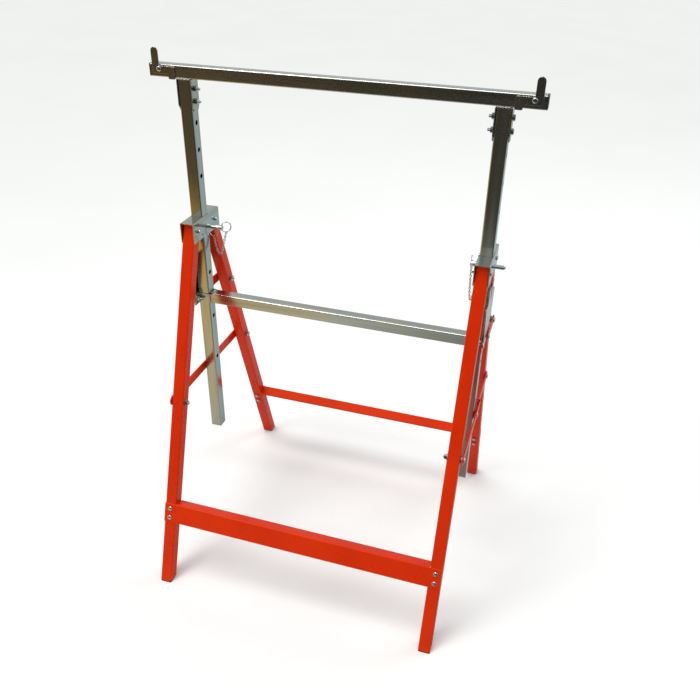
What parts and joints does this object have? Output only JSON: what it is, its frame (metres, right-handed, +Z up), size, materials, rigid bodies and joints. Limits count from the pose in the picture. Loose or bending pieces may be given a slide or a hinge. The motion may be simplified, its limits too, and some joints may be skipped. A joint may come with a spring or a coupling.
{
  "type": "folding sawhorse",
  "caption": "Folding steel sawhorse with a square-tube beam on sliding posts, splayed hinged leg frames, folding braces and chained locking pins.",
  "frame": {"origin": "centre of the footprint, on the floor, with the leg frames open", "axes": "+X along the beam, +Y to the rear, +Z up"},
  "size_m": [0.696, 0.583, 1.028],
  "materials": {
    "orange_paint": "satin powder coat",
    "zinc_plate": "bright zinc plate with faint rolling marks",
    "bright_fastener": "bright zinc",
    "black_plastic": "fine grain",
    "post_plug_grey": "smooth",
    "foot_plug_dark": "matt"
  },
  "bodies": {
    "head": {"head_bracket_left": "zinc_plate", "head_bracket_right": "zinc_plate", "pivot_bolt_front_left": "bright_fastener", "pivot_bolt_front_right": "bright_fastener", "pivot_bolt_rear_left": "bright_fastener", "pivot_bolt_rear_right": "bright_fastener", "split_ring_left": "bright_fastener", "split_ring_right": "bright_fastener", "pin_chain_left": "bright_fastener", "pin_chain_right": "bright_fastener"},
    "front_frame": {"leg_front_left": "orange_paint", "leg_front_right": "orange_paint", "foot_plug_front_left": "foot_plug_dark", "foot_plug_front_right": "foot_plug_dark", "front_rail": "orange_paint", "brace_bolt_front_left": "bright_fastener", "brace_bolt_front_right": "bright_fastener"},
    "rear_frame": {"leg_rear_left": "orange_paint", "leg_rear_right": "orange_paint", "foot_plug_rear_left": "foot_plug_dark", "foot_plug_rear_right": "foot_plug_dark", "rear_rail": "orange_paint", "brace_bolt_rear_left": "bright_fastener", "brace_bolt_rear_right": "bright_fastener", "link_bolt_left": "bright_fastener", "link_bolt_right": "bright_fastener"},
    "middle_guide": {"middle_bar": "zinc_plate", "guide_plate_left": "zinc_plate", "guide_plate_right": "zinc_plate", "guide_bolt_front_left": "bright_fastener", "guide_bolt_front_right": "bright_fastener", "guide_bolt_rear_left": "bright_fastener", "guide_bolt_rear_right": "bright_fastener"},
    "beam_lift": {"beam_tube": "zinc_plate", "beam_cap_left": "black_plastic", "beam_cap_right": "black_plastic", "beam_stop_rivet_left": "bright_fastener", "beam_stop_rivet_right": "bright_fastener", "beam_saddle_left": "zinc_plate", "beam_saddle_right": "zinc_plate", "saddle_bolt_upper_left": "bright_fastener", "saddle_bolt_upper_right": "bright_fastener", "saddle_bolt_lower_left": "bright_fastener", "saddle_bolt_lower_right": "bright_fastener", "post_left": "zinc_plate", "post_right": "zinc_plate", "post_plug_left": "post_plug_grey", "post_plug_right": "post_plug_grey"},
    "front_brace_left": {"brace_front_left": "orange_paint"},
    "rear_brace_left": {"brace_rear_left": "orange_paint"},
    "link_left": {"upper_link_left": "orange_paint"},
    "stop_left": {"beam_stop_left": "zinc_plate"},
    "pin_left": {"locking_pin_left": "bright_fastener", "pull_ring_left": "bright_fastener"},
    "front_brace_right": {"brace_front_right": "orange_paint"},
    "rear_brace_right": {"brace_rear_right": "orange_paint"},
    "link_right": {"upper_link_right": "orange_paint"},
    "stop_right": {"beam_stop_right": "zinc_plate"},
    "pin_right": {"locking_pin_right": "bright_fastener", "pull_ring_right": "bright_fastener"}
  },
  "joints": [
    {"name": "fold", "type": "hinge", "parent": "head", "child": "front_frame", "pos_m": [0, -0.0357, 0.702], "axis": [1, 0, 0], "range_deg": [0, 17]},
    {"name": "rear_fold", "type": "hinge", "parent": "head", "child": "rear_frame", "pos_m": [0, 0.0357, 0.702], "axis": [-1, 0, 0], "range_deg": [0, 17]},
    {"name": "middle_guide_lift", "type": "slide", "parent": "head", "child": "middle_guide", "axis": [0, 0, 1], "range_m": [0, 0.0567]},
    {"name": "height", "type": "slide", "parent": "head", "child": "beam_lift", "axis": [0, 0, 1], "range_m": [-0.2, 0.3], "deforming": ["locking_pin_left", "locking_pin_right", "pull_ring_left", "pull_ring_right"]},
    {"name": "front_brace_left_swing", "type": "hinge", "parent": "front_frame", "child": "front_brace_left", "pos_m": [-0.29805, -0.14893, 0.375], "axis": [1, 0, 0], "range_deg": [0, 54.1]},
    {"name": "rear_brace_left_swing", "type": "hinge", "parent": "rear_frame", "child": "rear_brace_left", "pos_m": [-0.29515, 0.14893, 0.375], "axis": [-1, 0, 0], "range_deg": [0, 54.1]},
    {"name": "link_left_swing", "type": "hinge", "parent": "rear_frame", "child": "link_left", "pos_m": [-0.29905, 0.08986, 0.5456], "axis": [-1, 0, 0], "range_deg": [0, 55.5]},
    {"name": "stop_left_swing", "type": "hinge", "parent": "beam_lift", "child": "stop_left", "pos_m": [-0.3275, -0.0123, 0.992], "axis": [0, 1, 0], "range_deg": [0, 90]},
    {"name": "pin_left_pull", "type": "slide", "parent": "head", "child": "pin_left", "axis": [1, 0, 0], "range_m": [-0.02, 0.03], "deforming": ["pin_chain_left"]},
    {"name": "front_brace_right_swing", "type": "hinge", "parent": "front_frame", "child": "front_brace_right", "pos_m": [0.29805, -0.14893, 0.375], "axis": [1, 0, 0], "range_deg": [0, 54.1]},
    {"name": "rear_brace_right_swing", "type": "hinge", "parent": "rear_frame", "child": "rear_brace_right", "pos_m": [0.29515, 0.14893, 0.375], "axis": [-1, 0, 0], "range_deg": [0, 54.1]},
    {"name": "link_right_swing", "type": "hinge", "parent": "rear_frame", "child": "link_right", "pos_m": [0.29905, 0.08986, 0.5456], "axis": [-1, 0, 0], "range_deg": [0, 55.5]},
    {"name": "stop_right_swing", "type": "hinge", "parent": "beam_lift", "child": "stop_right", "pos_m": [0.3275, -0.0123, 0.992], "axis": [0, -1, 0], "range_deg": [0, 90]},
    {"name": "pin_right_pull", "type": "slide", "parent": "head", "child": "pin_right", "axis": [-1, 0, 0], "range_m": [0, 0.052], "deforming": ["pin_chain_right"]}
  ],
  "couplings": [
    {"joint": "rear_fold", "follows": "fold", "ratio": 1},
    {"joint": "middle_guide_lift", "follows": "fold", "m_per_rad": 0.19093},
    {"joint": "front_brace_left_swing", "follows": "fold", "ratio": 3.179},
    {"joint": "rear_brace_left_swing", "follows": "fold", "ratio": 3.179},
    {"joint": "link_left_swing", "follows": "fold", "ratio": 3.2616},
    {"joint": "front_brace_right_swing", "follows": "fold", "ratio": 3.179},
    {"joint": "rear_brace_right_swing", "follows": "fold", "ratio": 3.179},
    {"joint": "link_right_swing", "follows": "fold", "ratio": 3.2616}
  ]
}
